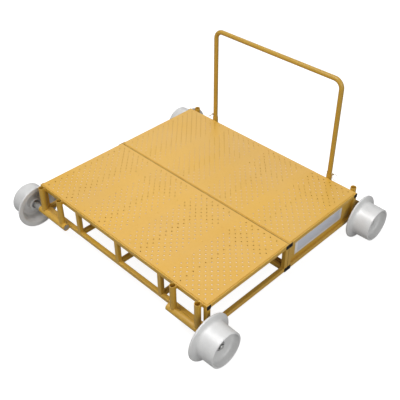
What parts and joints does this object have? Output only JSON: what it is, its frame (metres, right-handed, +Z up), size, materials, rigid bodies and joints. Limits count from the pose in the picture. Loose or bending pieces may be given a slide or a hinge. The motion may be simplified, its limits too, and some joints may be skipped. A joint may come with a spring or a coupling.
{
  "type": "railway track trolley",
  "caption": "Flat rail trolley of coupled square-tube box frames with perforated decks, flanged wheels, stake sockets and a removable inverted-U push handle.",
  "frame": {"origin": "floor level under the middle of the coupling line, at the flanges' lowest point", "axes": "+X along the wheel axles to the label panel's side, +Y along the track to the handle, +Z up"},
  "size_m": [1.624, 1.5064, 0.922],
  "materials": {
    "frame_paint": "semi-gloss powder coat, golden yellow",
    "deck_paint": "semi-gloss powder coat, warm yellow",
    "handle_paint": "semi-gloss powder coat, golden yellow",
    "black_plastic": "moulded matt",
    "black_steel": "black oxide",
    "cast_alloy": "machined and cast",
    "bearing_steel": "ground",
    "bright_steel": "turned",
    "plated_steel": "zinc plated",
    "plate_white": "satin white, blank"
  },
  "bodies": {
    "frame": {"front_top_rails": "frame_paint", "front_bottom_rails": "frame_paint", "front_end_rails": "frame_paint", "front_corner_posts": "frame_paint", "front_mid_posts": "frame_paint", "front_top_cross_tubes": "frame_paint", "front_bottom_cross_tubes": "frame_paint", "front_deck_sheet": "deck_paint", "front_deck_screws": "deck_paint", "front_rail_plugs": "black_plastic", "front_axle_tubes": "frame_paint", "front_stake_sockets": "frame_paint", "front_socket_saddles": "frame_paint", "front_lock_screws": "black_steel", "rear_top_rails": "frame_paint", "rear_bottom_rails": "frame_paint", "rear_end_rails": "frame_paint", "rear_corner_posts": "frame_paint", "rear_mid_posts": "frame_paint", "rear_top_cross_tubes": "frame_paint", "rear_bottom_cross_tubes": "frame_paint", "rear_deck_sheet": "deck_paint", "rear_deck_screws": "deck_paint", "rear_rail_plugs": "black_plastic", "rear_axle_tubes": "frame_paint", "rear_stake_sockets": "frame_paint", "handle_sockets": "frame_paint", "rear_socket_saddles": "frame_paint", "rear_lock_screws": "black_steel", "coupling_bolts": "plated_steel", "coupling_nuts": "plated_steel", "end_panel": "frame_paint", "blank_plate": "plate_white", "corner_gusset": "frame_paint", "front_left_axle": "bright_steel", "front_right_axle": "bright_steel", "rear_left_axle": "bright_steel", "rear_right_axle": "bright_steel", "axle_washers": "bright_steel", "axle_circlips": "black_steel"},
    "front_left_wheel_set": {"front_left_wheel": "cast_alloy", "front_left_bearings": "bearing_steel"},
    "front_right_wheel_set": {"front_right_wheel": "cast_alloy", "front_right_bearings": "bearing_steel"},
    "rear_left_wheel_set": {"rear_left_wheel": "cast_alloy", "rear_left_bearings": "bearing_steel"},
    "rear_right_wheel_set": {"rear_right_wheel": "cast_alloy", "rear_right_bearings": "bearing_steel"},
    "handle_bar": {"handle": "handle_paint"},
    "left_pin": {"left_stop_pin": "plated_steel"},
    "right_pin": {"right_stop_pin": "plated_steel"},
    "left_ring": {"left_pin_ring": "plated_steel"},
    "right_ring": {"right_pin_ring": "plated_steel"}
  },
  "joints": [
    {"name": "front_left_wheel_spin", "type": "hinge", "parent": "frame", "child": "front_left_wheel_set", "pos_m": [-0.762, -0.6212, 0.132], "axis": [1, 0, 0], "continuous": true},
    {"name": "front_right_wheel_spin", "type": "hinge", "parent": "frame", "child": "front_right_wheel_set", "pos_m": [0.762, -0.6212, 0.132], "axis": [1, 0, 0], "continuous": true},
    {"name": "rear_left_wheel_spin", "type": "hinge", "parent": "frame", "child": "rear_left_wheel_set", "pos_m": [-0.762, 0.6212, 0.132], "axis": [1, 0, 0], "continuous": true},
    {"name": "rear_right_wheel_spin", "type": "hinge", "parent": "frame", "child": "rear_right_wheel_set", "pos_m": [0.762, 0.6212, 0.132], "axis": [1, 0, 0], "continuous": true},
    {"name": "handle_slide", "type": "slide", "parent": "frame", "child": "handle_bar", "axis": [0, 0, 1], "range_m": [0, 0.15]},
    {"name": "left_pin_slide", "type": "slide", "parent": "handle_bar", "child": "left_pin", "axis": [-1, 0, 0], "range_m": [0, 0.035]},
    {"name": "right_pin_slide", "type": "slide", "parent": "handle_bar", "child": "right_pin", "axis": [1, 0, 0], "range_m": [0, 0.035]},
    {"name": "left_ring_swing", "type": "hinge", "parent": "left_pin", "child": "left_ring", "pos_m": [-0.4815, 0.6212, 0.319], "axis": [0, 1, 0], "range_deg": [-45, 45]},
    {"name": "right_ring_swing", "type": "hinge", "parent": "right_pin", "child": "right_ring", "pos_m": [0.4815, 0.6212, 0.319], "axis": [0, -1, 0], "range_deg": [-45, 45]}
  ]
}
